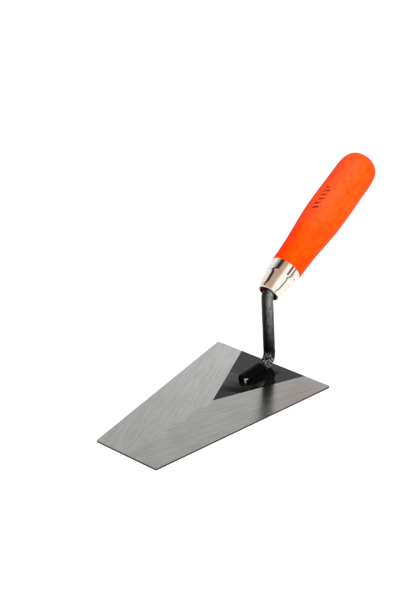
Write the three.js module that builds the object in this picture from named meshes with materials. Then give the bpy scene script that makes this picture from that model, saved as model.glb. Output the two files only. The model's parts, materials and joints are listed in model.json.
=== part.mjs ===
// A plasterer's trowel with a flat trapezoidal blade, a cranked round bar welded to it, and a
// turned wooden handle that is driven onto the bar's tang and held by a staked ferrule.
// Millimetres, +Z up. The origin is the middle of the blade's underside, +Y runs from the nose
// of the blade to the handle, and the trowel is a mirror image of itself across X = 0.
import * as THREE from "three";

// Driving dimensions of the blade.
const BLADE_LENGTH = 180;
const BLADE_REAR_WIDTH = 117;
const BLADE_NOSE_WIDTH = 60.5;
const BLADE_THICKNESS = 1.4;
const BLADE_CORNER_RADIUS = 2;

// Where the handle lies: its axis starts at the middle of the ferrule's mouth.
const HANDLE_TILT = THREE.MathUtils.degToRad(30); // above the blade
const MOUTH_Y = 81.1;
const MOUTH_Z = 69.6;

// The neck: one round bar, pressed to a flat-bottomed foot at one end and a square tang at the
// other.
const BAR_DIAMETER = 10;
const FOOT_TOE_Y = 48.6;
const FOOT_WIDTH = 10.6;
const FOOT_HEIGHT = { heel: 7.4, toe: 6 }; // above the blade
const FOOT_AXIS_HEIGHT = 2.4; // of the foot's centreline above the blade
const HEEL_RADIUS = 9; // of the centreline, where the foot turns into the riser
const RISER_LEAN = THREE.MathUtils.degToRad(5); // towards the nose as it rises
const CRANK_RADIUS = 7; // of the centreline, where the riser turns into the tang
const CRANK_BEFORE_MOUTH = 1.4; // from the mouth back to where the two straights would meet
const CRANK_SECTION = { width: 10.2, height: 9.3 }; // the bar flattens a little where it bends
const TANG_ROOT = { at: 15, size: 7 }; // where it is fully square, and its size across flats
const TANG_TIP = { at: 68, size: 3.2 };

const WELD_LEG = 2.4;
const WELD_HOLLOW = 0.55; // how far out the bead's face bulges, as a share of its leg
const WELD_START_Y = 53;
const WELD_LENGTH = 24;

// The turned pieces, as heights along the handle's axis from the mouth, and radii.
const FERRULE_HEIGHT = { lip: 1.4, nose: 5, coneEnd: 14.4, collar: 18, top: 27.1 };
const FERRULE_RADIUS = { hole: 7.8, lip: 9.7, nose: 10.6, coneEnd: 12, collar: 12.7, top: 12.9 };
const FERRULE_WALL = 0.9;
const STAKE = { height: 20.6, depth: 0.7, spread: 1.7 }; // two punched dimples

const GRIP_HEIGHT = { neck: 3.6, waist: 65, belly: 96, tail: 127.5, butt: 150.6 };
const GRIP_RADIUS = { shoulder: 13.4, belly: 16.9, tail: 16.6 };
const BORE_STRAIGHT = 16; // depth to which the tang's bore stays cylindrical
const GAP = 0.3; // between pieces that are fitted or fused together

// Fineness.
const SWEEP_RINGS = 72;
const SWEEP_SIDES = 16;
const TURNED_SEGMENTS = 40;
const LONGEST_STEP = 2.4;

const steel = new THREE.MeshStandardMaterial({ color: 0xa9a9a6, roughness: 0.35, metalness: 1 });
const lacquer = new THREE.MeshStandardMaterial({ color: 0x0c0c0d, roughness: 0.3, metalness: 0 });
const nickel = new THREE.MeshStandardMaterial({ color: 0xe0d3c2, roughness: 0.12, metalness: 1 });
const wood = new THREE.MeshStandardMaterial({ color: 0xfc5a08, roughness: 0.35, metalness: 0 });

function named(name, geometry, material) {
  const mesh = new THREE.Mesh(geometry, material);
  mesh.name = name;
  return mesh;
}

// Draws a line from the first corner to the last, with each one between rounded to its radius.
function throughCorners(path, corners) {
  path.moveTo(corners[0].at.x, corners[0].at.y);
  for (let i = 1; i < corners.length - 1; i++) {
    const { at, radius } = corners[i];
    const back = corners[i - 1].at.clone().sub(at).normalize();
    const ahead = corners[i + 1].at.clone().sub(at).normalize();
    const half = Math.acos(back.dot(ahead)) / 2;
    const start = at.clone().addScaledVector(back, radius / Math.tan(half));
    const end = at.clone().addScaledVector(ahead, radius / Math.tan(half));
    const centre = back.clone().add(ahead).setLength(radius / Math.sin(half)).add(at);
    const clockwise = back.cross(ahead) > 0;
    path.lineTo(start.x, start.y);
    path.absarc(
      centre.x,
      centre.y,
      radius,
      start.sub(centre).angle(),
      end.sub(centre).angle(),
      clockwise,
    );
  }
  const last = corners.at(-1).at;
  path.lineTo(last.x, last.y);
  return path;
}

// The blade: a flat trapezoid, wide at the rear, with its four corners eased.
function bladeGeometry() {
  const rear = BLADE_LENGTH / 2;
  const outline = [
    [0, -rear],
    [BLADE_NOSE_WIDTH / 2, -rear],
    [BLADE_REAR_WIDTH / 2, rear],
    [-BLADE_REAR_WIDTH / 2, rear],
    [-BLADE_NOSE_WIDTH / 2, -rear],
    [0, -rear],
  ];
  const corners = outline.map(([x, y]) => ({
    at: new THREE.Vector2(x, y),
    radius: BLADE_CORNER_RADIUS,
  }));
  const shape = throughCorners(new THREE.Shape(), corners);
  return new THREE.ExtrudeGeometry(shape, {
    depth: BLADE_THICKNESS,
    bevelEnabled: false,
    curveSegments: 5,
  });
}

// The bar's centreline in the plane X = 0, as a path whose x is the trowel's Y and whose y is
// its Z: along the blade from toe to heel, up the riser, round the crank and into the handle.
function barCentreline() {
  const footZ = BLADE_THICKNESS + FOOT_AXIS_HEIGHT;
  const mouth = new THREE.Vector2(MOUTH_Y, MOUTH_Z);
  const handle = new THREE.Vector2(Math.cos(HANDLE_TILT), Math.sin(HANDLE_TILT));
  const crank = mouth.clone().addScaledVector(handle, -CRANK_BEFORE_MOUTH);
  const heel = new THREE.Vector2(crank.x + (crank.y - footZ) * Math.tan(RISER_LEAN), footZ);
  return throughCorners(new THREE.Path(), [
    { at: new THREE.Vector2(FOOT_TOE_Y, footZ) },
    { at: heel, radius: HEEL_RADIUS },
    { at: crank, radius: CRANK_RADIUS },
    { at: mouth.clone().addScaledVector(handle, TANG_TIP.at) },
  ]);
}

// The bar's sections: how far each lies along the centreline, its width across X, its height in
// the plane of the bends, and the power of its superellipse, which is 2 for a round section and
// higher for a squarer one.
function barSections(centreline) {
  const lengths = centreline.getCurveLengths();
  const [footEnd, heelEnd, riserEnd, crankEnd] = lengths;
  const total = lengths.at(-1);
  const tangRoot = total - TANG_TIP.at + TANG_ROOT.at;
  const toe = 2 * (FOOT_HEIGHT.toe - FOOT_AXIS_HEIGHT);
  const heel = 2 * (FOOT_HEIGHT.heel - FOOT_AXIS_HEIGHT);
  const section = (at, width, height, power) => ({ at, width, height, power });
  return [
    section(0, 0.66 * FOOT_WIDTH, 0.8 * toe, 2.5),
    section(0.8, 0.86 * FOOT_WIDTH, 0.96 * toe, 2.5),
    section(2.6, FOOT_WIDTH, toe, 2.4),
    section(footEnd, FOOT_WIDTH, heel, 2.1),
    section(heelEnd + 2, BAR_DIAMETER, BAR_DIAMETER, 2),
    section(riserEnd - 8, BAR_DIAMETER, BAR_DIAMETER, 2),
    section(riserEnd - 2, CRANK_SECTION.width, CRANK_SECTION.height, 2),
    section(crankEnd, CRANK_SECTION.width, CRANK_SECTION.height, 2),
    section(tangRoot - 8, CRANK_SECTION.height, CRANK_SECTION.height, 2),
    section(tangRoot, TANG_ROOT.size, TANG_ROOT.size, 5),
    section(total - 3, TANG_TIP.size, TANG_TIP.size, 5),
    section(total, TANG_TIP.size / 2, TANG_TIP.size / 2, 5),
  ];
}

function sectionAt(sections, along) {
  const next = Math.max(1, sections.findIndex((s) => s.at >= along));
  const [a, b] = [sections[next - 1], sections[next]];
  const share = THREE.MathUtils.clamp((along - a.at) / (b.at - a.at), 0, 1);
  const mix = (key) => THREE.MathUtils.lerp(a[key], b[key], share);
  return { width: mix("width"), height: mix("height"), power: mix("power") };
}

// The bar: a unit cylinder whose rings are laid along the centreline and given its sections.
// What would reach below the blade's upper face is flattened against it.
function neckGeometry() {
  const centreline = barCentreline();
  const sections = barSections(centreline);
  const total = centreline.getLength();
  const superellipse = (c, power) => Math.sign(c) * Math.abs(c) ** (2 / power);
  const geometry = new THREE.CylinderGeometry(1, 1, 1, SWEEP_SIDES, SWEEP_RINGS);
  const positions = geometry.getAttribute("position");
  for (let i = 0; i < positions.count; i++) {
    const share = THREE.MathUtils.clamp(positions.getY(i) + 0.5, 0, 1);
    const centre = centreline.getPointAt(share);
    const tangent = centreline.getTangentAt(share);
    const { width, height, power } = sectionAt(sections, share * total);
    const across = (width / 2) * superellipse(positions.getX(i), power);
    const up = (height / 2) * superellipse(positions.getZ(i), power);
    const y = centre.x - up * tangent.y;
    const z = centre.y + up * tangent.x;
    positions.setXYZ(i, across, y, Math.max(z, BLADE_THICKNESS));
  }
  return geometry;
}

// A fillet weld along one side of the foot: `side` is 1 for +X and -1 for -X.
function weldGeometry(side) {
  const root = FOOT_WIDTH / 2 + GAP;
  const shape = new THREE.Shape();
  shape.moveTo(side * root, BLADE_THICKNESS);
  shape.lineTo(side * (root + WELD_LEG), BLADE_THICKNESS);
  shape.quadraticCurveTo(
    side * (root + WELD_HOLLOW * WELD_LEG),
    BLADE_THICKNESS + WELD_HOLLOW * WELD_LEG,
    side * root,
    BLADE_THICKNESS + WELD_LEG,
  );
  const geometry = new THREE.ExtrudeGeometry(shape, {
    depth: WELD_LENGTH,
    bevelEnabled: false,
    curveSegments: 5,
  });
  return geometry.rotateX(Math.PI / 2).translate(0, WELD_START_Y + WELD_LENGTH, 0);
}

// Adds points to the long straight stretches of a profile, so that a dimple can shape them.
function withSteps(profile) {
  const fine = [profile[0]];
  for (const point of profile.slice(1)) {
    const from = fine.at(-1).clone();
    const steps = Math.ceil(from.distanceTo(point) / LONGEST_STEP);
    for (let i = 1; i <= steps; i++) fine.push(from.clone().lerp(point, i / steps));
  }
  return fine;
}

// Turns a profile about the handle's axis, local +Y, and presses the two staking dimples into
// its outer skin, on the +X and -X sides.
function turned(profile) {
  const geometry = new THREE.LatheGeometry(profile, TURNED_SEGMENTS);
  const positions = geometry.getAttribute("position");
  for (let i = 0; i < positions.count; i++) {
    const [x, y, z] = [positions.getX(i), positions.getY(i), positions.getZ(i)];
    const radius = Math.hypot(x, z);
    if (radius < FERRULE_RADIUS.hole) continue;
    const round = radius * Math.atan2(z, Math.abs(x));
    const away = Math.hypot(round, y - STAKE.height) / STAKE.spread;
    const shrink = 1 - (STAKE.depth * Math.exp(-away * away)) / radius;
    positions.setXYZ(i, x * shrink, y, z * shrink);
  }
  return geometry;
}

// Continues a profile up the ferrule's wall, `inset` inside its outer skin: a rounded nose, a
// straight cone, a soft step out, and the collar.
function followFerrule(path, inset) {
  const r = (key) => FERRULE_RADIUS[key] - inset;
  const h = FERRULE_HEIGHT;
  const step = h.collar - h.coneEnd;
  path.quadraticCurveTo(r("nose") - 0.3, 3, r("nose"), h.nose);
  path.lineTo(r("coneEnd"), h.coneEnd);
  path.bezierCurveTo(
    r("coneEnd") + 0.25,
    h.coneEnd + 0.4 * step,
    r("collar"),
    h.coneEnd + 0.6 * step,
    r("collar"),
    h.collar,
  );
  path.lineTo(r("top"), h.top);
}

// The ferrule: a thin metal cone with a rolled-in lip at its mouth and a collar at its top.
function ferruleGeometry() {
  const { hole, lip } = FERRULE_RADIUS;
  const crest = THREE.MathUtils.lerp(hole, lip, 0.35);
  const outside = new THREE.Path().moveTo(hole, FERRULE_WALL / 2);
  outside.quadraticCurveTo(hole, 0, crest, 0);
  outside.quadraticCurveTo(lip - 0.2, 0, lip, FERRULE_HEIGHT.lip);
  followFerrule(outside, 0);
  const inside = new THREE.Path().moveTo(hole, FERRULE_WALL / 2);
  inside.lineTo(crest, FERRULE_WALL);
  inside.quadraticCurveTo(
    lip - FERRULE_WALL,
    FERRULE_WALL,
    lip - FERRULE_WALL,
    2 * FERRULE_WALL,
  );
  followFerrule(inside, FERRULE_WALL);
  return turned(withSteps([...outside.getPoints(3), ...inside.getPoints(3).reverse()]));
}

// The handle: a turned grip with a thinner neck inside the ferrule and a bore for the tang.
function handleGeometry() {
  const { shoulder, belly, tail } = GRIP_RADIUS;
  const h = GRIP_HEIGHT;
  const inFerrule = FERRULE_WALL + GAP;
  const boreRadius = BAR_DIAMETER / 2 + 3 * GAP;
  const bore = new THREE.Path().moveTo(0, TANG_TIP.at + 4);
  bore.lineTo(TANG_TIP.size / Math.SQRT2 + GAP, TANG_TIP.at + 2);
  bore.lineTo(boreRadius, BORE_STRAIGHT);
  bore.lineTo(boreRadius, h.neck + 2);
  bore.lineTo(boreRadius + GAP, h.neck);

  const neck = new THREE.Path().moveTo(FERRULE_RADIUS.lip - inFerrule, h.neck);
  followFerrule(neck, inFerrule);
  const start = FERRULE_HEIGHT.top + GAP;
  neck.lineTo(FERRULE_RADIUS.top - inFerrule, start);

  const grip = new THREE.Path().moveTo(FERRULE_RADIUS.top, start);
  grip.quadraticCurveTo(shoulder, start, shoulder, start + 0.7);
  grip.bezierCurveTo(shoulder + 0.6, h.waist, belly, h.waist, belly, h.belly);
  grip.bezierCurveTo(belly, h.belly + 13, tail, h.tail - 13, tail, h.tail);
  grip.bezierCurveTo(tail, THREE.MathUtils.lerp(h.tail, h.butt, 0.64), 0.9 * tail, h.butt, 0, h.butt);
  return turned([...bore.getPoints(), ...withSteps(neck.getPoints(3)), ...grip.getPoints(7)]);
}

const trowel = new THREE.Group();
trowel.add(
  named("blade", bladeGeometry(), steel),
  named("neck", neckGeometry(), lacquer),
  named("weld_left", weldGeometry(-1), lacquer),
  named("weld_right", weldGeometry(1), lacquer),
);

// Local +Y is the handle's axis, from the ferrule's mouth to the butt.
const handleGroup = new THREE.Group();
handleGroup.position.set(0, MOUTH_Y, MOUTH_Z);
handleGroup.rotation.x = HANDLE_TILT;
handleGroup.add(named("ferrule", ferruleGeometry(), nickel), named("handle", handleGeometry(), wood));
trowel.add(handleGroup);

export default trowel;
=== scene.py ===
import json
import math

import bmesh
import bpy
import numpy as np
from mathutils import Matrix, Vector, noise


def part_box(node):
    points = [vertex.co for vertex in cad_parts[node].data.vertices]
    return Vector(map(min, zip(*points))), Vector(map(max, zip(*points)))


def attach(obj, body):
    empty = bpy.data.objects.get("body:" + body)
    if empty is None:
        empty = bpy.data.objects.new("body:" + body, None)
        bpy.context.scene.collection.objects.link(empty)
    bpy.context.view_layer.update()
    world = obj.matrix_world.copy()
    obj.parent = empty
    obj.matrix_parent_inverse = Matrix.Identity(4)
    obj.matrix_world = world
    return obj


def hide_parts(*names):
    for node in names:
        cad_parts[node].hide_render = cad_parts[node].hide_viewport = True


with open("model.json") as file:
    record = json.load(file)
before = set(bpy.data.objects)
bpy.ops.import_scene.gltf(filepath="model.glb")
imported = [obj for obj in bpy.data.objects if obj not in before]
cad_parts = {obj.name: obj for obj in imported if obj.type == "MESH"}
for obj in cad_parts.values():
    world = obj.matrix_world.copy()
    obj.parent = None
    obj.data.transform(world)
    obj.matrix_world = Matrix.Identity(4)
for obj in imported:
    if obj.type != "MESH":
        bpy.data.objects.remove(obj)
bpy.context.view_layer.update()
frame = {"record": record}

MM = 0.001

# ---------------------------------------------------------------- sizes

BLADE_LOW, BLADE_HIGH = (np.array(corner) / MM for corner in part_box("blade"))
BLADE_TOP = BLADE_HIGH[2]
BLADE_LENGTH = BLADE_HIGH[1] - BLADE_LOW[1]
BLADE_REAR_WIDTH = 117.0
BLADE_NOSE_WIDTH = 60.5
BLADE_CORNER_RADIUS = 2.0
BLADE_EDGE_RADIUS = 0.22

# The part that isn't ground: a lacquered triangle from the rear edge to an apex in front of the
# neck. The grinding marks on each side of the centreline run parallel to that side of it.
TRIANGLE_REAR_WIDTH = 65.7
TRIANGLE_LENGTH = 78.2
LACQUER_THICKNESS = 0.05
GRIND = np.array([TRIANGLE_REAR_WIDTH / 2, TRIANGLE_LENGTH]) / math.hypot(
    TRIANGLE_REAR_WIDTH / 2, TRIANGLE_LENGTH
)

# The handle's axis starts at the middle of the ferrule's mouth.
GRIP_MOUNT = next(m for m in frame["record"]["mounts"] if m["name"] == "grip")
AXIS = np.array(GRIP_MOUNT["axis"])
GRIP_HEIGHT = {"neck": 2.4, "waist": 65.0, "belly": 96.0, "tail": 127.5, "butt": 150.6}
GRIP_RADIUS = {"shoulder": 13.4, "belly": 16.9, "tail": 16.6}
MOUTH = np.array(GRIP_MOUNT["pos_m"]) / MM - GRIP_HEIGHT["belly"] * AXIS
SIDE = np.array([1.0, 0.0, 0.0])
LIFT = np.cross(SIDE, AXIS)

# The neck, a round bar with a flat-bottomed foot and a square tang.
NECK_LOW, NECK_HIGH = (np.array(corner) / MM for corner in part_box("neck"))
BAR_DIAMETER = 10.0
FOOT_WIDTH = NECK_HIGH[0] - NECK_LOW[0]
FOOT_HEIGHT = {"heel": 7.4, "toe": 6.0}
FOOT_AXIS_HEIGHT = 2.4
HEEL_RADIUS = 9.0
RISER_LEAN = math.radians(5)
CRANK_RADIUS = 7.0
CRANK_BEFORE_MOUTH = 1.4
CRANK_SECTION = {"width": 10.2, "height": 9.3}
TANG_ROOT = {"at": 15.0, "size": 7.0}
TANG_TIP = {"at": 68.0, "size": 3.2}

FERRULE_HEIGHT = {"lip": 1.4, "nose": 5.0, "cone_end": 14.4, "collar": 18.0, "top": 27.1}
FERRULE_RADIUS = {
    "hole": 7.8,
    "lip": 9.7,
    "nose": 10.6,
    "cone_end": 12.0,
    "collar": 12.7,
    "top": 12.9,
}
FERRULE_WALL = 0.9
STAKE = {"height": 20.6, "depth": 0.7, "spread": 1.7}
BORE_STRAIGHT = 16.0
WELD_RIPPLE = 1.7
GAP = 0.3

# A generic row of bars printed on the grip: where it starts and ends along the handle's axis, its
# angle round that axis from SIDE, the radius that turns angles into lengths there, and the bars'
# pitch, length and slant.
PRINT = {
    "start": 77.0,
    "end": 104.0,
    "angle": math.radians(92),
    "radius": 16.0,
    "pitch": 4.5,
    "length": 5.0,
    "slant": 0.5,
}

# The angle from which an edge is sharp, and how finely the pieces are divided.
SHARP_ANGLE = math.radians(35)
BAR_STEP = 0.55
BAR_SIDES = 56
BEAD_RINGS, BEAD_SIDES = 150, 20
FERRULE_SIDES = 192
GRIP_SIDES = 160

# ---------------------------------------------------------------- mesh building


def bezier(points, steps):
    """Points of a quadratic or cubic Bezier curve, without its first one."""
    controls = np.array(points, float)
    power = len(controls) - 1
    t = np.linspace(0, 1, steps + 1)[1:, None]
    weights = [math.comb(power, k) * t**k * (1 - t) ** (power - k) for k in range(power + 1)]
    return list(sum(w * c for w, c in zip(weights, controls)))


def through_corners(corners, step):
    """Points `step` apart, and their tangents, along the line from the first corner to the last,
    with each corner between rounded to its radius. Returns lengths, points and tangents."""
    points = [np.array(corners[0][0])]
    for (back, _), (at, radius), (ahead, _) in zip(corners, corners[1:], corners[2:]):
        at = np.array(at)
        to_back = (back - at) / np.linalg.norm(back - at)
        to_ahead = (ahead - at) / np.linalg.norm(ahead - at)
        half = math.acos(to_back @ to_ahead) / 2
        middle = (to_back + to_ahead) / np.linalg.norm(to_back + to_ahead)
        centre = at + middle * radius / math.sin(half)
        start = at + to_back * radius / math.tan(half) - centre
        end = at + to_ahead * radius / math.tan(half) - centre
        turn = math.pi - 2 * half
        for share in np.linspace(0, 1, max(2, math.ceil(turn * radius / step))):
            a, b = math.sin((1 - share) * turn), math.sin(share * turn)
            points.append(centre + (a * start + b * end) / math.sin(turn))
    points.append(np.array(corners[-1][0]))
    coarse = np.array(points)
    lengths = np.concatenate([[0], np.cumsum(np.linalg.norm(np.diff(coarse, axis=0), axis=1))])
    even = np.linspace(0, lengths[-1], math.ceil(lengths[-1] / step) + 1)
    fine = np.stack([np.interp(even, lengths, coarse[:, k]) for k in range(coarse.shape[1])], -1)
    tangents = np.gradient(fine, axis=0)
    return even, fine, tangents / np.linalg.norm(tangents, axis=1)[:, None]


def mesh_object(name, points, faces, materials, face_material=None):
    """A mesh object from points in millimetres, smooth except across sharp edges."""
    mesh = bpy.data.meshes.new(name)
    mesh.from_pydata([Vector(p) * MM for p in points], [], faces)
    for material in materials:
        mesh.materials.append(material)
    if face_material is not None:
        mesh.polygons.foreach_set("material_index", face_material)
    built = bmesh.new()
    built.from_mesh(mesh)
    bmesh.ops.remove_doubles(built, verts=built.verts, dist=1e-7)
    bmesh.ops.recalc_face_normals(built, faces=built.faces)
    for face in built.faces:
        face.smooth = True
    for edge in built.edges:
        edge.smooth = edge.calc_face_angle(0) < SHARP_ANGLE
    built.to_mesh(mesh)
    built.free()
    piece = bpy.data.objects.new(name, mesh)
    bpy.context.scene.collection.objects.link(piece)
    return piece


def ring_faces(rings, sides, closed=False):
    """Quads between rings of points, each ring closed on itself, and a face over each end unless
    the rings themselves close into a loop."""
    faces = []
    for i in range(rings if closed else rings - 1):
        for j in range(sides):
            k = (j + 1) % sides
            near, far = i * sides, (i + 1) % rings * sides
            faces.append((near + j, near + k, far + k, far + j))
    if not closed:
        faces.append(tuple(range(sides)))
        faces.append(tuple(range((rings - 1) * sides, rings * sides)))
    return faces


def around(sides):
    return np.linspace(0, 2 * math.pi, sides, endpoint=False)


def wobble(point, scale, seed):
    """Smooth noise from -1 to 1 at a point, with lumps about `scale` millimetres long."""
    return noise.noise(Vector(point) / scale + Vector((seed, 0, 0)))


# ---------------------------------------------------------------- the pieces


def blade_outline(inset, corner_steps=8):
    """The blade's outline moved in by `inset`, from the middle of the nose round to it again,
    with points where the lacquered triangle meets the rear edge."""
    half = BLADE_LENGTH / 2 - inset
    slope = (BLADE_REAR_WIDTH - BLADE_NOSE_WIDTH) / 2 / BLADE_LENGTH
    shift = inset * math.hypot(1, slope)
    nose = BLADE_NOSE_WIDTH / 2 + slope * inset - shift
    rear = BLADE_REAR_WIDTH / 2 - slope * inset - shift
    radius = BLADE_CORNER_RADIUS - inset
    right = []
    corners = [(0.0, -half), (nose, -half), (rear, half), (0.0, half)]
    for back, at, ahead in zip(corners, corners[1:], corners[2:]):
        back, at, ahead = (np.array(c) for c in (back, at, ahead))
        to_back = (back - at) / np.linalg.norm(back - at)
        to_ahead = (ahead - at) / np.linalg.norm(ahead - at)
        reach = radius / math.tan(math.acos(to_back @ to_ahead) / 2)
        start, end = at + to_back * reach, at + to_ahead * reach
        right += [start, *bezier([start, at, end], corner_steps)]
    right.append(np.array([TRIANGLE_REAR_WIDTH / 2, half]))
    left = [p * [-1, 1] for p in reversed(right)]
    return [np.array([0.0, -half]), *right, *left]


def blade_piece(ground, edge):
    """The blade: a rim of narrow strips that rounds its edges, and flat-shaded faces above and
    below, each in three parts that meet at the apex of the lacquered triangle."""
    arc = np.linspace(0, math.pi / 2, 5)
    r = BLADE_EDGE_RADIUS
    rim = [(r - r * math.sin(a), r - r * math.cos(a)) for a in arc]
    rim += [(inset, BLADE_TOP - z) for inset, z in reversed(rim)]
    loops = [[(x, y, z) for x, y in blade_outline(inset)] for inset, z in rim]
    sides = len(loops[0])
    points = [p for loop in loops for p in loop]
    faces = ring_faces(len(loops), sides)[:-2]
    ground_index, edge_index = 0, 1
    which = [edge_index] * len(faces)
    apex = BLADE_LENGTH / 2 - TRIANGLE_LENGTH
    rear = sides // 2
    for base, z in ((0, rim[0][1]), ((len(loops) - 1) * sides, BLADE_TOP)):
        middle = len(points)
        points.append((0.0, apex, z))
        faces.append((middle, *range(base, base + rear + 1)))
        faces.append((middle, *range(base + rear + 1, base + sides), base))
        faces.append((middle, base + rear, base + rear + 1))
        which += [ground_index] * 3
    blade = mesh_object("trowel_blade", points, faces, [ground, edge], which)
    for polygon in blade.data.polygons:
        polygon.use_smooth = polygon.material_index == edge_index
    return blade


def film_piece(lacquer):
    """The lacquer left on the triangle: a thin film whose two ground edges waver a little."""
    rear = BLADE_LENGTH / 2 - 0.5 * BLADE_EDGE_RADIUS
    half = TRIANGLE_REAR_WIDTH / 2
    apex = BLADE_LENGTH / 2 - TRIANGLE_LENGTH
    steps = 90
    right = []
    for share in np.linspace(0, 1, steps + 1):
        x, y = share * half, apex + share * (rear - apex)
        ragged = 0.16 * wobble((x, y, 0), 2.2, 3) + 0.1 * wobble((x, y, 0), 0.7, 9)
        right.append(np.array([x + (ragged if 0 < share < 1 else 0), y]))
    outline = right + [p * [-1, 1] for p in reversed(right[1:])]
    middle = np.mean(outline, axis=0)
    low, high = BLADE_TOP - 2 * LACQUER_THICKNESS, BLADE_TOP + LACQUER_THICKNESS
    layers = [(0, low), (0, high - 0.6 * LACQUER_THICKNESS), (0.05, high)]
    points = []
    for inset, z in layers:
        for x, y in outline:
            towards = (middle - (x, y)) / np.linalg.norm(middle - (x, y)) * inset
            points.append((x + towards[0], y + towards[1], z))
    return mesh_object("lacquer_film", points, ring_faces(3, len(outline)), [lacquer])


def neck_piece(lacquer):
    """The forged bar: rounded and squared sections along a bent centreline, with the dents and
    waviness that hammering leaves."""
    foot_z = BLADE_TOP + FOOT_AXIS_HEIGHT
    handle = AXIS[1:]
    crank = MOUTH[1:] - CRANK_BEFORE_MOUTH * handle
    heel = np.array([crank[0] + (crank[1] - foot_z) * math.tan(RISER_LEAN), foot_z])
    toe = np.array([NECK_LOW[1], foot_z])
    tip = MOUTH[1:] + TANG_TIP["at"] * handle
    along, centres, tangents = through_corners(
        [(toe, 0), (heel, HEEL_RADIUS), (crank, CRANK_RADIUS), (tip, 0)], BAR_STEP
    )
    bend = np.array([float(np.cross(a, b)) for a, b in zip(tangents, np.roll(tangents, -1, 0))])
    bent = np.flatnonzero(np.abs(bend[:-1]) > 1e-3)
    second = np.flatnonzero(np.diff(bent) > 3)[0] + 1
    foot_end, heel_end = along[bent[0]], along[bent[second - 1]]
    riser_end, crank_end = along[bent[second]], along[bent[-1]]
    tang_root = along[-1] - TANG_TIP["at"] + TANG_ROOT["at"]
    toe_height = 2 * (FOOT_HEIGHT["toe"] - FOOT_AXIS_HEIGHT)
    heel_height = 2 * (FOOT_HEIGHT["heel"] - FOOT_AXIS_HEIGHT)
    sections = np.array(
        [
            (0, 0.62 * FOOT_WIDTH, 0.76 * toe_height, 2.6),
            (0.4, 0.74 * FOOT_WIDTH, 0.9 * toe_height, 2.6),
            (1.0, 0.86 * FOOT_WIDTH, 0.97 * toe_height, 2.5),
            (1.9, 0.96 * FOOT_WIDTH, toe_height, 2.5),
            (2.9, FOOT_WIDTH, toe_height, 2.4),
            (foot_end, FOOT_WIDTH, heel_height, 2.1),
            (heel_end + 2, BAR_DIAMETER, BAR_DIAMETER, 2),
            (riser_end - 8, BAR_DIAMETER, BAR_DIAMETER, 2),
            (riser_end - 2, CRANK_SECTION["width"], CRANK_SECTION["height"], 2),
            (crank_end, CRANK_SECTION["width"], CRANK_SECTION["height"], 2),
            (tang_root - 8, CRANK_SECTION["height"], CRANK_SECTION["height"], 2),
            (tang_root, TANG_ROOT["size"], TANG_ROOT["size"], 5),
            (along[-1] - 3, TANG_TIP["size"], TANG_TIP["size"], 5),
            (along[-1], TANG_TIP["size"] / 2, TANG_TIP["size"] / 2, 5),
        ]
    )
    width, height, power = (np.interp(along, sections[:, 0], sections[:, k]) for k in (1, 2, 3))
    angles = around(BAR_SIDES)
    points = []
    for i, (y, z) in enumerate(centres):
        ty, tz = tangents[i]
        rounded = 2 / power[i]
        for angle in angles:
            c, s = math.cos(angle), math.sin(angle)
            across = width[i] / 2 * math.copysign(abs(c) ** rounded, c)
            up = height[i] / 2 * math.copysign(abs(s) ** rounded, s)
            place = np.array([across, y - up * tz, z + up * ty])
            near_heel = math.exp(-(((along[i] - heel_end + 4) / 9) ** 2))
            dent = 0.1 * wobble(place, 9, 1) + (0.05 + 0.14 * near_heel) * wobble(place, 3, 5)
            scale = 1 + (dent - 0.1) / (BAR_DIAMETER / 2)
            x = across * scale
            y_out, z_out = y - up * tz * scale, z + up * ty * scale
            points.append((x, y_out, max(z_out, BLADE_TOP)))
    return mesh_object("forged_neck", points, ring_faces(len(along), len(angles)), [lacquer])


def bead_piece(name, node, side, lacquer):
    """A fillet weld with the overlapping ripples of its passes."""
    low, high = (np.array(corner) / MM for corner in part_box(node))
    leg = high[2] - low[2]
    root = min(abs(low[0]), abs(high[0])) - 0.5
    points = []
    for share in np.linspace(0, 1, BEAD_RINGS):
        y = low[1] + share * (high[1] - low[1])
        end = min(1.0, math.sqrt(max(0.0, 1 - (2 * share - 1) ** 8)) + 0.12)
        passes = y / WELD_RIPPLE + 0.12 * wobble((0, y, 0), 5, side)
        ripple = 0.5 + 0.5 * math.cos(2 * math.pi * passes)
        for angle in around(BEAD_SIDES):
            reach = leg * end * (0.7 - 0.09 * ripple + 0.08 * wobble((y, angle, 0), 2, 7))
            out = max(-0.3, math.cos(angle)) * reach
            rise = max(-0.1, math.sin(angle)) * reach
            bowed = y + 0.5 * math.cos(angle - math.pi / 4) * end
            x = min(root + 0.45 + out, high[0] if side > 0 else -low[0])
            points.append((side * x, min(bowed, high[1]), BLADE_TOP + rise * 0.97))
    return mesh_object(name, points, ring_faces(BEAD_RINGS, BEAD_SIDES), [lacquer])


def turned(name, profile, materials, sides, closed=False):
    """Turns (height, radius) points about the handle's axis and presses in the two dimples."""
    points = []
    for height, radius in profile:
        for angle in around(sides):
            x, lift = radius * math.cos(angle), radius * math.sin(angle)
            if radius > FERRULE_RADIUS["hole"]:
                arc = radius * math.atan2(lift, abs(x))
                away = math.hypot(arc, height - STAKE["height"]) / STAKE["spread"]
                rim = 0.16 * math.exp(-(((away - 1.5) / 0.45) ** 2))
                pressed = STAKE["depth"] * math.exp(-(away**4)) - rim * STAKE["depth"]
                x, lift = x * (1 - pressed / radius), lift * (1 - pressed / radius)
            points.append(MOUTH + height * AXIS + x * SIDE + lift * LIFT)
    return mesh_object(name, points, ring_faces(len(profile), sides, closed), materials)


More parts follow.
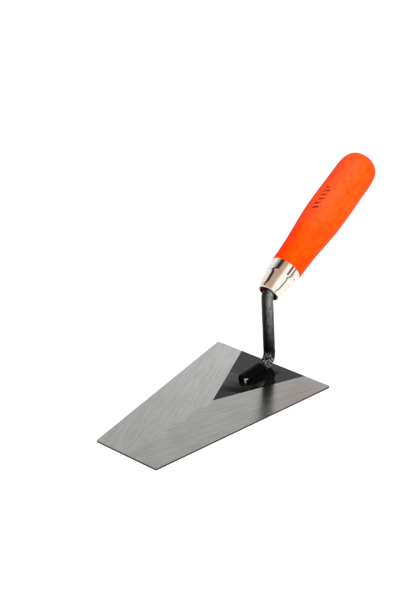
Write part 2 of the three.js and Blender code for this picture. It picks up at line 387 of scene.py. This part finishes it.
def follow_ferrule(start, inset, steps):
    """A profile up the ferrule's wall from its nose, `inset` inside its outer skin."""
    h = FERRULE_HEIGHT
    r = {key: value - inset for key, value in FERRULE_RADIUS.items()}
    step = h["collar"] - h["cone_end"]
    profile = [np.array(start, float)]
    profile += bezier([start, (3, r["nose"] - 0.3), (h["nose"], r["nose"])], steps)
    for height in np.linspace(h["nose"], h["cone_end"], 3 * steps)[1:]:
        share = (height - h["nose"]) / (h["cone_end"] - h["nose"])
        profile.append(np.array([height, r["nose"] + share * (r["cone_end"] - r["nose"])]))
    profile += bezier(
        [
            profile[-1],
            (h["cone_end"] + 0.4 * step, r["cone_end"] + 0.25),
            (h["cone_end"] + 0.6 * step, r["collar"]),
            (h["collar"], r["collar"]),
        ],
        2 * steps,
    )
    for share in np.linspace(0, 1, 5 * steps)[1:]:
        height = h["collar"] + share * (h["top"] - h["collar"])
        profile.append(np.array([height, r["collar"] + share * (r["top"] - r["collar"])]))
    return profile


def ferrule_piece(nickel):
    """The ferrule: a thin cone with a rolled lip, a soft step, a collar and a rounded top rim."""
    hole, lip = FERRULE_RADIUS["hole"], FERRULE_RADIUS["lip"]
    crest = hole + 0.35 * (lip - hole)
    wall = FERRULE_WALL
    profile = bezier([(wall / 2, hole), (0, hole), (0, crest)], 6)
    profile += bezier([(0, crest), (0, lip - 0.2), (FERRULE_HEIGHT["lip"], lip)], 10)
    profile += follow_ferrule(profile.pop(), 0, 8)
    top = profile.pop()
    inner_top = (top[0], top[1] - wall)
    profile.append(top - [0.35, 0])
    profile += bezier([profile[-1], top, top - [0, 0.4]], 5)
    inside = bezier([(wall, crest), (wall, lip - wall), (2 * wall, lip - wall)], 4)
    inner = follow_ferrule(inside.pop(), wall, 3)
    inner[-1] = np.array(inner_top)
    profile += list(reversed([(wall * 0.8, crest - 0.4), *inside, *inner]))
    return turned("staked_ferrule", profile, [nickel], FERRULE_SIDES, closed=True)


def handle_piece(wood):
    """The handle: a turned grip, its neck inside the ferrule and the bore for the tang."""
    h, r = GRIP_HEIGHT, GRIP_RADIUS
    inset = FERRULE_WALL + GAP / 3
    bore = BAR_DIAMETER / 2 + 0.45
    start = FERRULE_HEIGHT["top"] + 0.05
    bore_end = TANG_TIP["at"] + 4
    profile = [(bore_end, 0.02), (bore_end - 2, 2.6), (BORE_STRAIGHT, bore), (h["neck"] + 1, bore)]
    profile += bezier([profile[-1], (h["neck"], bore), (h["neck"], bore + 1)], 4)
    shoulder_start = (h["neck"], FERRULE_RADIUS["lip"] - inset - 0.6)
    neck = [p for p in follow_ferrule(shoulder_start, inset, 3) if p[0] >= h["neck"]]
    profile += [shoulder_start, *neck]
    profile += [(start, FERRULE_RADIUS["top"] - inset), (start, FERRULE_RADIUS["top"] - 0.1)]
    profile += bezier([profile[-1], (start, r["shoulder"]), (start + 0.8, r["shoulder"])], 6)
    profile += bezier(
        [
            profile[-1],
            (h["waist"], r["shoulder"] + 0.6),
            (h["waist"], r["belly"]),
            (h["belly"], r["belly"]),
        ],
        60,
    )
    profile += bezier(
        [
            profile[-1],
            (h["belly"] + 13, r["belly"]),
            (h["tail"] - 13, r["tail"]),
            (h["tail"], r["tail"]),
        ],
        24,
    )
    crown = h["tail"] + 0.64 * (h["butt"] - h["tail"])
    profile += bezier(
        [profile[-1], (crown, r["tail"]), (h["butt"], 0.9 * r["tail"]), (h["butt"], 0.02)], 36
    )
    return turned("turned_handle", profile, [wood], GRIP_SIDES)


# ---------------------------------------------------------------- materials


class Material:
    """Builds one material. Each method adds a node and returns its output; an input may be a
    number, a tuple or another node's output."""

    def __init__(self, name):
        self.material = bpy.data.materials.new(name)
        self.material.use_nodes = True
        self.tree = self.material.node_tree
        self.shader = self.tree.nodes["Principled BSDF"]

    def add(self, kind, inputs, output=0, **settings):
        node = self.tree.nodes.new(kind)
        for key, value in settings.items():
            setattr(node, key, value)
        for key, value in inputs.items():
            self.feed(node.inputs[key], value)
        return node.outputs[output]

    def feed(self, socket, value):
        if isinstance(value, bpy.types.NodeSocket):
            self.tree.links.new(value, socket)
        else:
            socket.default_value = value

    def place(self):
        """The point on the piece, in millimetres in the row frame."""
        point = self.add("ShaderNodeTexCoord", {}, "Object")
        return self.vector("SCALE", point, scale=1 / MM)

    def vector(self, operation, a, b=(0, 0, 0), scale=1.0):
        inputs = {0: a, "Scale": scale} if operation == "SCALE" else {0: a, 1: b}
        output = "Value" if operation in ("DOT_PRODUCT", "LENGTH") else "Vector"
        return self.add("ShaderNodeVectorMath", inputs, output, operation=operation)

    def along(self, place, axis):
        return self.vector("DOT_PRODUCT", place, axis)

    def distance(self, place, point):
        return self.vector("LENGTH", self.vector("SUBTRACT", place, point))

    def math(self, operation, a, b=0.0):
        return self.add("ShaderNodeMath", {0: a, 1: b}, operation=operation)

    def times(self, a, b):
        return self.math("MULTIPLY", a, b)

    def plus(self, a, b):
        return self.math("ADD", a, b)

    def off(self, value, middle):
        """How far a value is from a middle one, on either side."""
        return self.math("ABSOLUTE", self.math("SUBTRACT", value, middle))

    def combine(self, x, y, z):
        return self.add("ShaderNodeCombineXYZ", {"X": x, "Y": y, "Z": z})

    def frame_of(self, origin, axes):
        """Coordinates of the point in millimetres along each of three axes from an origin."""
        relative = self.vector("SUBTRACT", self.place(), tuple(origin))
        return [self.along(relative, tuple(axis)) for axis in axes]

    def noise(self, vector, scale, detail=3.0, roughness=0.55, distortion=0.0):
        inputs = {
            "Vector": vector,
            "Scale": scale,
            "Detail": detail,
            "Roughness": roughness,
            "Distortion": distortion,
        }
        return self.add("ShaderNodeTexNoise", inputs)

    def remap(self, value, low, high, to_low=0.0, to_high=1.0, soft=True):
        inputs = {
            "Value": value,
            "From Min": low,
            "From Max": high,
            "To Min": to_low,
            "To Max": to_high,
        }
        kind = "SMOOTHSTEP" if soft else "LINEAR"
        return self.add("ShaderNodeMapRange", inputs, interpolation_type=kind)

    def mix(self, share, a, b):
        node = self.tree.nodes.new("ShaderNodeMix")
        node.data_type = "RGBA"
        for socket, value in zip((node.inputs[0], node.inputs[6], node.inputs[7]), (share, a, b)):
            is_colour = isinstance(value, tuple) and len(value) == 3
            self.feed(socket, (*value, 1.0) if is_colour else value)
        return node.outputs[2]

    def mix_vector(self, share, a, b):
        node = self.tree.nodes.new("ShaderNodeMix")
        node.data_type = "VECTOR"
        for socket, value in zip((node.inputs[0], node.inputs[4], node.inputs[5]), (share, a, b)):
            self.feed(socket, value)
        return node.outputs[1]

    def bump(self, height, distance, strength=1.0, normal=None):
        inputs = {"Height": height, "Distance": distance * MM, "Strength": strength}
        if normal is not None:
            inputs["Normal"] = normal
        return self.add("ShaderNodeBump", inputs)

    def finish(self, **values):
        for key, value in values.items():
            socket = self.shader.inputs[key.replace("_", " ")]
            is_colour = isinstance(value, tuple) and socket.type == "RGBA"
            self.feed(socket, (*value, 1.0) if is_colour else value)
        return self.material


X_AXIS, Y_AXIS, Z_AXIS = (1, 0, 0), (0, 1, 0), (0, 0, 1)


def grinding_marks(m, place, side):
    """Coarse and fine marks along one side's direction, each about 0.5 on average. `side` is 1
    for +X and -1 for -X."""
    stretched = m.times(m.along(place, (side * GRIND[0], GRIND[1], 0)), 0.06)
    across = m.along(place, (GRIND[1], -side * GRIND[0], 0))
    coarse = m.noise(m.combine(stretched, across, side * 3), 0.75, 4, 0.7)
    fine = m.noise(m.combine(stretched, across, side * 7), 3.2, 3, 0.6)
    return coarse, fine


def stray_scratches(m, x, y):
    """The strength of thin slanted scratches, which cross the grinding marks on the +X side and
    are plainest at the nose."""
    slant = 0.5
    across = m.times(m.plus(x, m.times(y, slant)), 0.9)
    stretched = m.times(m.math("SUBTRACT", y, m.times(x, slant)), 0.08)
    lines = m.noise(m.combine(across, stretched, 0.0), 1.6, 3, 0.7, 0.8)
    return m.times(m.remap(lines, 0.6, 0.72), m.remap(y, 10, -60, 0.15, 0.6))


def ground_steel():
    """Sheet steel ground by a belt, with marks parallel to each side of the lacquered triangle
    that meet on a wavering line near X = 0. Its colour is darker on the +X side and towards the
    nose as painted shade, and it has a faint pink painted reflection of the handle near the rear
    corner on the +X side."""
    bright, painted_shade_steel = (0.445, 0.45, 0.44), (0.352, 0.357, 0.338)
    handle_reflection_tint, handle_reflection_middle = (0.3, 0.26, 0.25), (43, 66, 1.4)
    scratched = (0.52, 0.52, 0.5)
    m = Material("ground_steel")
    place = m.place()
    x, y = m.along(place, X_AXIS), m.along(place, Y_AXIS)
    drift = m.noise(place, 0.05, 2)
    seam = m.plus(x, m.remap(drift, 0.2, 0.8, -9, 9, soft=False))
    on_right = m.remap(seam, -5, 5)
    on_left = m.math("SUBTRACT", 1.0, on_right)
    left, right = grinding_marks(m, place, -1), grinding_marks(m, place, 1)
    coarse, fine = (
        m.plus(m.times(b, on_right), m.times(a, on_left)) for a, b in zip(left, right)
    )
    across_left, across_right = (GRIND[1], GRIND[0], 0), (GRIND[1], -GRIND[0], 0)
    tangent = m.mix_vector(on_right, across_left, across_right)

    # Painted shade: the steel is darker on the +X side and towards the nose.
    nose_shade = m.remap(y, 70, -80, 0, 0.85, soft=False)
    tone = m.mix(m.math("MAXIMUM", m.times(on_right, 0.95), nose_shade), bright, painted_shade_steel)
    clouds = m.noise(place, 0.035, 3)
    # Painted reflection: a pink patch near the rear corner on +X stands for the handle reflected
    # in the steel.
    handle_reflection_share = m.remap(m.distance(place, handle_reflection_middle), 36, 6)
    tone = m.mix(m.times(handle_reflection_share, m.remap(clouds, 0.3, 0.6, 0.1, 0.5)), tone, handle_reflection_tint)
    shade = m.plus(m.remap(coarse, 0.3, 0.7, -0.12, 0.1), m.remap(clouds, 0.3, 0.7, 0.97, 1.05))
    tone = m.vector("SCALE", tone, scale=shade)
    tone = m.mix(stray_scratches(m, x, y), tone, scratched)

    rough = m.remap(fine, 0.25, 0.75, 0.13, 0.23, soft=False)
    return m.finish(
        Base_Color=tone,
        Metallic=1.0,
        Roughness=m.plus(rough, m.remap(x, 22, 44, 0, 0.05)),
        Anisotropic=0.6,
        Tangent=tangent,
        Normal=m.bump(fine, 0.012, 0.5, m.bump(coarse, 0.02, 0.25)),
    )


def cut_edge():
    """The sheared rim of the sheet: steel made nearly black as painted shade, so that its sides
    read as shaded, with short marks across its thickness.
    """
    m = Material("cut_edge")
    streaks = m.noise(m.vector("MULTIPLY", m.place(), (1, 1, 0.1)), 2.5, 4)
    # Painted shade: the near-black tones make the rim's sides read as shaded.
    tone = m.mix(m.remap(streaks, 0.3, 0.7), (0.03, 0.03, 0.03), (0.09, 0.088, 0.085))
    rough = m.remap(streaks, 0.3, 0.7, 0.45, 0.62)
    return m.finish(
        Base_Color=tone, Metallic=1.0, Roughness=rough, Normal=m.bump(streaks, 0.05, 0.5)
    )


def film_lacquer():
    """Thin black lacquer, less glossy towards its apex, and with its gloss cut beside the weld on
    +X as painted shade, standing in for the foot's dark reflection and shadow.
    """
    m = Material("film_lacquer")
    place = m.place()
    x, y = m.along(place, X_AXIS), m.along(place, Y_AXIS)
    # Painted shade: the gloss is cut beside the foot on +X, in place of its dark reflection and
    # shadow.
    beside = m.times(m.remap(x, 17, 12), m.remap(x, 0, 4))
    foot_shade = m.times(beside, m.times(m.remap(y, 45, 52), m.remap(y, 86, 76)))
    sheen = m.remap(y, 15, 70, 0.14, 0.24)
    mottle = m.noise(place, 0.5, 4)
    speck = m.noise(place, 3.0, 2)
    tone = m.mix(m.remap(mottle, 0.35, 0.7), (0.0015, 0.0015, 0.0015), (0.004, 0.004, 0.004))
    return m.finish(
        Base_Color=tone,
        Roughness=m.remap(mottle, 0.3, 0.7, 0.03, 0.08),
        Specular_IOR_Level=m.times(sheen, m.remap(foot_shade, 0, 1, 1, 0.1)),
        Normal=m.bump(speck, 0.01, 0.25),
    )


def toe_glint(m, x, y, z):
    """A painted highlight on the corner of the foot's toe, from 0 to 1: an upright stroke below a
    level one.
    """
    upright = m.times(m.remap(m.off(x, 3.4), 0.9, 0.4), m.remap(m.off(z, 3.6), 2.4, 1.6))
    level = m.times(m.remap(m.off(x, 4.2), 2.6, 1.6), m.remap(m.off(z, 5.4), 0.8, 0.3))
    toe = NECK_LOW[1]
    return m.times(m.math("MAXIMUM", upright, level), m.remap(y, toe + 2.6, toe + 1.2))


def neck_lacquer():
    """Black lacquer over forged steel: matt on the foot, grey up one side of the riser from scuffs
    and a painted highlight on the side that faces the lights, and with painted highlights shaped
    like chips down to the steel in the heel's bend and at the toe's corner."""
    # Of these greys, the middle one is scuffs with a painted highlight and the lightest is the
    # grey of painted glints.
    black, scuff_and_highlight_grey, metal = (0.0015, 0.0015, 0.0015), (0.18, 0.18, 0.178), (0.34, 0.34, 0.335)
    highlight_side = (0.77, 0.64, 0)
    heel_glint_middle = (1.5, NECK_LOW[1] + 32, 9)
    m = Material("neck_lacquer")
    place = m.place()
    x, y, z = (m.along(place, axis) for axis in (X_AXIS, Y_AXIS, Z_AXIS))
    lumps = m.noise(place, 0.35, 4, 0.6)
    streaks = m.noise(m.vector("MULTIPLY", place, (1, 1, 0.2)), 1.5, 4, 0.7)
    chips = m.noise(place, 1.1, 4, 0.7)

    # Painted highlight: the riser is lighter, rising with height, on the side that faces the
    # lights, mixed with streaks of scuffs.
    side = m.along(m.add("ShaderNodeTexCoord", {}, "Normal"), highlight_side)
    highlight_and_scuff_area = m.times(m.remap(z, 16, 76), m.remap(side, -0.6, 0.35, 0.04, 1))
    highlight_and_scuff_area = m.times(highlight_and_scuff_area, m.remap(side, 0.4, 0.9, 1, 0.5))
    scuff_and_highlight = m.times(m.remap(streaks, 0.38, 0.62, 0.2, 1.1), highlight_and_scuff_area)
    tone = m.mix(scuff_and_highlight, black, scuff_and_highlight_grey)
    # Painted highlights: glints in the heel's bend and at the toe's corner, shaped like chips.
    heel_glint_area = m.remap(m.distance(place, heel_glint_middle), 9, 4)
    toe_glint_share = m.times(toe_glint(m, x, y, z), m.remap(chips, 0.35, 0.6, 0.2, 0.6))
    painted_glints = m.math("MAXIMUM", m.times(m.remap(chips, 0.53, 0.62), heel_glint_area), toe_glint_share)
    return m.finish(
        Base_Color=m.mix(painted_glints, tone, metal),
        Roughness=m.remap(lumps, 0.3, 0.7, 0.24, 0.42),
        Specular_IOR_Level=m.remap(z, 7, 34, 0.012, 0.13),
        Normal=m.bump(streaks, 0.12, 0.5, m.bump(lumps, 0.35, 0.5)),
    )


def nickel():
    """Bright nickel plate with faint turning lines round it and cloudy, rubbed patches."""
    m = Material("nickel_plate")
    height, x, lift = m.frame_of(MOUTH, (AXIS, SIDE, LIFT))
    turning = m.noise(m.combine(m.times(height, 4.0), x, lift), 0.9, 3)
    rubbed = m.noise(m.combine(height, m.times(x, 0.3), lift), 0.35, 4)
    tone = m.mix(m.remap(rubbed, 0.3, 0.75), (0.8, 0.735, 0.67), (0.86, 0.81, 0.75))
    rough = m.remap(rubbed, 0.3, 0.75, 0.05, 0.14)
    return m.finish(
        Base_Color=tone, Metallic=1.0, Roughness=rough, Normal=m.bump(turning, 0.003, 0.12)
    )


def printed_bars(m, height, x, lift):
    """The share of ink on the grip, from 0 to 1: a row of short slanted bars, a little worn."""
    half_row = (PRINT["end"] - PRINT["start"]) / 2
    middle = PRINT["start"] + half_row
    half_length, pitch = PRINT["length"] / 2, PRINT["pitch"]
    turn = m.math("SUBTRACT", m.math("ARCTAN2", lift, x), PRINT["angle"])
    arc = m.times(turn, PRINT["radius"])
    bars = m.math("PINGPONG", m.plus(height, m.times(arc, PRINT["slant"])), pitch / 2)
    bars = m.remap(bars, 0.27 * pitch, 0.2 * pitch)
    along_bar = m.remap(m.math("ABSOLUTE", arc), half_length, half_length - 0.3)
    in_row = m.remap(m.off(height, middle), half_row, half_row - 1)
    worn = m.remap(m.noise(m.combine(height, x, lift), 0.12, 2), 0.35, 0.6, 0.55, 1.0)
    return m.times(m.times(bars, along_bar), m.times(in_row, worn))


def orange_wood():
    """Turned hardwood under orange lacquer: long grain, pores and soft mottling, redder near the
    ferrule, with a painted sheen that makes the top paler towards the butt, and with a row of
    printed bars. The end that shows in the ferrule's mouth is painted near black as painted shade,
    with red paint, itself darkened as painted shade, on its -X side."""
    low_dark, low_light = (0.84, 0.018, 0.0002), (0.94, 0.036, 0.0005)
    high_dark, high_light = (0.88, 0.046, 0.003), (0.95, 0.067, 0.006)
    mottled, painted_sheen, blotched = (0.93, 0.056, 0.001), (0.95, 0.085, 0.03), (0.84, 0.024, 0.001)
    pore, ink = (0.6, 0.035, 0.002), (0.07, 0.008, 0.012)
    mouth_shade_black, shaded_red_paint = (0.01, 0.003, 0.002), (0.36, 0.008, 0.01)
    m = Material("orange_wood")
    height, x, lift = m.frame_of(MOUTH, (AXIS, SIDE, LIFT))
    place = m.combine(height, x, lift)
    grain = m.noise(m.combine(m.times(height, 0.05), x, lift), 0.55, 5, 0.6, 0.3)
    pores = m.noise(m.combine(m.times(height, 0.12), x, lift), 2.6, 2)
    mottle = m.noise(place, 0.07, 3)
    blotch = m.noise(place, 0.22, 3, 0.6)

    light_grain = m.remap(grain, 0.3, 0.72)
    low = m.mix(light_grain, low_dark, low_light)
    high = m.mix(light_grain, high_dark, high_light)
    tone = m.mix(m.remap(height, 10, 110), low, high)
    tone = m.mix(m.remap(mottle, 0.35, 0.7, 0, 0.7), tone, mottled)
    # Painted sheen: the top of the grip is paler towards the butt.
    sheen_on_top = m.times(m.remap(lift, 9, 16), m.remap(height, 50, 85, 0, 0.4))
    tone = m.mix(sheen_on_top, tone, painted_sheen)
    tone = m.mix(m.remap(blotch, 0.45, 0.7, 0, 0.4), tone, blotched)
    tone = m.mix(m.remap(pores, 0.62, 0.78, 0, 0.35), tone, pore)
    tone = m.mix(printed_bars(m, height, x, lift), tone, ink)
    # Painted shade: the end in the ferrule's mouth is near black, with darkened red paint on -X.
    inside = m.mix(m.remap(x, -1.5, -3.0), mouth_shade_black, shaded_red_paint)
    tone = m.mix(m.remap(height, 4.2, 3.2), tone, inside)
    return m.finish(
        Base_Color=tone,
        Roughness=m.remap(grain, 0.3, 0.7, 0.36, 0.5),
        Specular_IOR_Level=0.015,
        Normal=m.bump(pores, 0.03, 0.3, m.bump(grain, 0.08, 0.25)),
    )


# ---------------------------------------------------------------- the studio

# Directions from the trowel to what surrounds it. The seam is a strip in the plane that its
# normal stands on. The horizon is a level strip, and its number is the sine of its elevation.
TO_CAMERA = (0.643, -0.766, 0)
TO_DIM_SIDE = (-0.45, -0.89, 0)
TO_SOFTBOX = (0.86, -0.1, 0.5)
TO_STAND = (0.88, 0.18, 0.44)
SEAM_NORMAL = (0.5, -0.864, 0.067)
HORIZON = 0.035

WHITE = (1.0, 1.0, 1.0, 1.0)
BLACK = (0.0, 0.0, 0.0, 1.0)
OVERHEAD = (0.42, 0.42, 0.42, 1.0)
WARM_CEILING = (0.62, 0.44, 0.33, 1.0)
DIM_WALL = (0.62, 0.6, 0.58, 1.0)
SOFTBOX_GLOW = (1.25, 1.25, 1.2, 1.0)
STAND_BROWN = (0.1, 0.06, 0.05, 1.0)
SEAM_BROWN = (0.05, 0.024, 0.012, 1.0)
HORIZON_BROWN = (0.2, 0.13, 0.1, 1.0)

# Each light's direction from the trowel, its distance and size in metres and its power in watts.
LIGHTS = {
    "key": {"towards": (0.72, -0.38, 0.58), "distance": 1.0, "size": 0.5, "power": 19},
    "fill": {"towards": (0.3, -0.8, 0.6), "distance": 1.3, "size": 0.8, "power": 5},
    "rim": {"towards": (-0.1, 1.0, 0.45), "distance": 1.2, "size": 0.7, "power": 7},
}
LIT_POINT = Vector((0, 0.06, 0.05))

FLOOR_SIDES, FLOOR_RADIUS, FLOOR_Z = 96, 3200.0, -0.02

VIEW_AZIMUTH, VIEW_ELEVATION = math.radians(40), math.radians(27.13)
VIEW_DISTANCE, VIEW_TARGET = 1.307, Vector((-0.1207, 0.1406, 0))
VIEW_LENS = 86.97


def studio_world():
    """Surroundings that the metal reflects: white walls, dim overhead, a warm ceiling over the
    camera, a softbox with its stand, a dark seam on the left and a dark horizon on the right.
    The camera sees white, and matt surfaces get less of it so that the lights shape them."""
    world = bpy.data.worlds.new("studio")
    world.use_nodes = True
    bpy.context.scene.world = world
    tree = world.node_tree
    background = tree.nodes["Background"]

    def add(kind, inputs, output=0, **settings):
        node = tree.nodes.new(kind)
        for key, value in settings.items():
            setattr(node, key, value)
        for key, value in inputs.items():
            if isinstance(value, bpy.types.NodeSocket):
                tree.links.new(value, node.inputs[key])
            else:
                node.inputs[key].default_value = value
        return node.outputs[output]

    direction = add("ShaderNodeTexCoord", {}, "Generated")

    def along(axis):
        settings = {"operation": "DOT_PRODUCT"}
        return add("ShaderNodeVectorMath", {0: direction, 1: axis}, "Value", **settings)

    def step(value, low, high):
        inputs = {"Value": value, "From Min": low, "From Max": high}
        return add("ShaderNodeMapRange", inputs, interpolation_type="SMOOTHSTEP")

    def strip(value, middle, outer, inner):
        """1 within `inner` of the middle value, falling to 0 at `outer` from it."""
        offset = add("ShaderNodeMath", {0: value, 1: middle}, operation="SUBTRACT")
        offset = add("ShaderNodeMath", {0: offset}, operation="ABSOLUTE")
        return step(offset, outer, inner)

    def times(a, b):
        return add("ShaderNodeMath", {0: a, 1: b}, operation="MULTIPLY")

    def mix(share, a, b):
        node = tree.nodes.new("ShaderNodeMix")
        node.data_type = "RGBA"
        for socket, value in zip((node.inputs[0], node.inputs[6], node.inputs[7]), (share, a, b)):
            if isinstance(value, bpy.types.NodeSocket):
                tree.links.new(value, socket)
            else:
                socket.default_value = value
        return node.outputs[2]

    up = along(Z_AXIS)
    colour = mix(step(up, 0.5, 0.8), WHITE, OVERHEAD)
    ceiling = times(step(along(TO_CAMERA), -0.3, 0.3), step(up, 0.5, 0.75))
    colour = mix(ceiling, colour, WARM_CEILING)
    dim_side = times(step(along(TO_DIM_SIDE), 0.35, 0.75), step(up, 0.62, 0.5))
    colour = mix(dim_side, colour, DIM_WALL)
    colour = mix(step(along(TO_SOFTBOX), 0.78, 0.98), colour, SOFTBOX_GLOW)
    colour = mix(step(along(TO_STAND), 0.985, 0.999), colour, STAND_BROWN)
    seam = times(strip(along(SEAM_NORMAL), 0.0, 0.24, 0.07), step(up, 0.4, 0.6))
    colour = mix(seam, colour, SEAM_BROWN)
    horizon = times(strip(up, HORIZON, 0.17, 0.02), step(along(X_AXIS), 0.5, 0.7))
    colour = mix(horizon, colour, HORIZON_BROWN)
    matt_share = times(add("ShaderNodeLightPath", {}, "Is Diffuse Ray"), 0.45)
    colour = mix(matt_share, colour, BLACK)
    camera_ray = add("ShaderNodeLightPath", {}, "Is Camera Ray")
    tree.links.new(mix(camera_ray, colour, WHITE), background.inputs["Color"])


def area_light(name, towards, distance, size, power):
    """A square soft light that faces the trowel from a direction, and that metal doesn't show."""
    data = bpy.data.lights.new(name, "AREA")
    data.shape = "SQUARE"
    data.size = size
    data.energy = power
    light = bpy.data.objects.new(name, data)
    direction = Vector(towards).normalized()
    light.location = LIT_POINT + direction * distance
    light.rotation_mode = "QUATERNION"
    light.rotation_quaternion = direction.to_track_quat("Z", "Y")
    light.visible_camera = False
    light.visible_glossy = False
    bpy.context.scene.collection.objects.link(light)


def floor_piece():
    """A wide white table whose own faint glow keeps it plain round the trowel."""
    points = [
        (FLOOR_RADIUS * math.cos(a), FLOOR_RADIUS * math.sin(a), FLOOR_Z)
        for a in around(FLOOR_SIDES)
    ]
    m = Material("floor")
    m.finish(
        Base_Color=(0.15, 0.15, 0.15),
        Roughness=0.9,
        Specular_IOR_Level=0.0,
        Emission_Color=(1.0, 1.0, 1.0),
        Emission_Strength=0.93,
    )
    floor = mesh_object("floor", points, [tuple(range(FLOOR_SIDES))], [m.material])


def camera():
    """The view: from the right of the nose, looking down, with a long lens."""
    back = Vector(
        (
            math.sin(VIEW_AZIMUTH) * math.cos(VIEW_ELEVATION),
            -math.cos(VIEW_AZIMUTH) * math.cos(VIEW_ELEVATION),
            math.sin(VIEW_ELEVATION),
        )
    )
    data = bpy.data.cameras.new("camera")
    data.lens = VIEW_LENS
    view = bpy.data.objects.new("camera", data)
    view.rotation_mode = "QUATERNION"
    view.location = VIEW_TARGET + back * VIEW_DISTANCE
    view.rotation_quaternion = back.to_track_quat("Z", "Y")
    bpy.context.scene.collection.objects.link(view)
    bpy.context.scene.camera = view


# ---------------------------------------------------------------- assembly

black = neck_lacquer()
pieces = [
    (blade_piece(ground_steel(), cut_edge()), "blade", "ground_steel"),
    (film_piece(film_lacquer()), None, "black_lacquer"),
    (neck_piece(black), "neck", "black_lacquer"),
    (bead_piece("weld_bead_left", "weld_left", -1, black), "weld_left", "black_lacquer"),
    (bead_piece("weld_bead_right", "weld_right", 1, black), "weld_right", "black_lacquer"),
    (ferrule_piece(nickel()), "ferrule", "nickel_plate"),
    (handle_piece(orange_wood()), "handle", "orange_wood"),
]
for piece, node, slot in pieces:
    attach(piece, "root")
    if node:
        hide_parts(node)

floor_piece()
studio_world()
for name, light in LIGHTS.items():
    area_light(name, **light)
camera()
bpy.context.scene.view_settings.view_transform = "Standard"
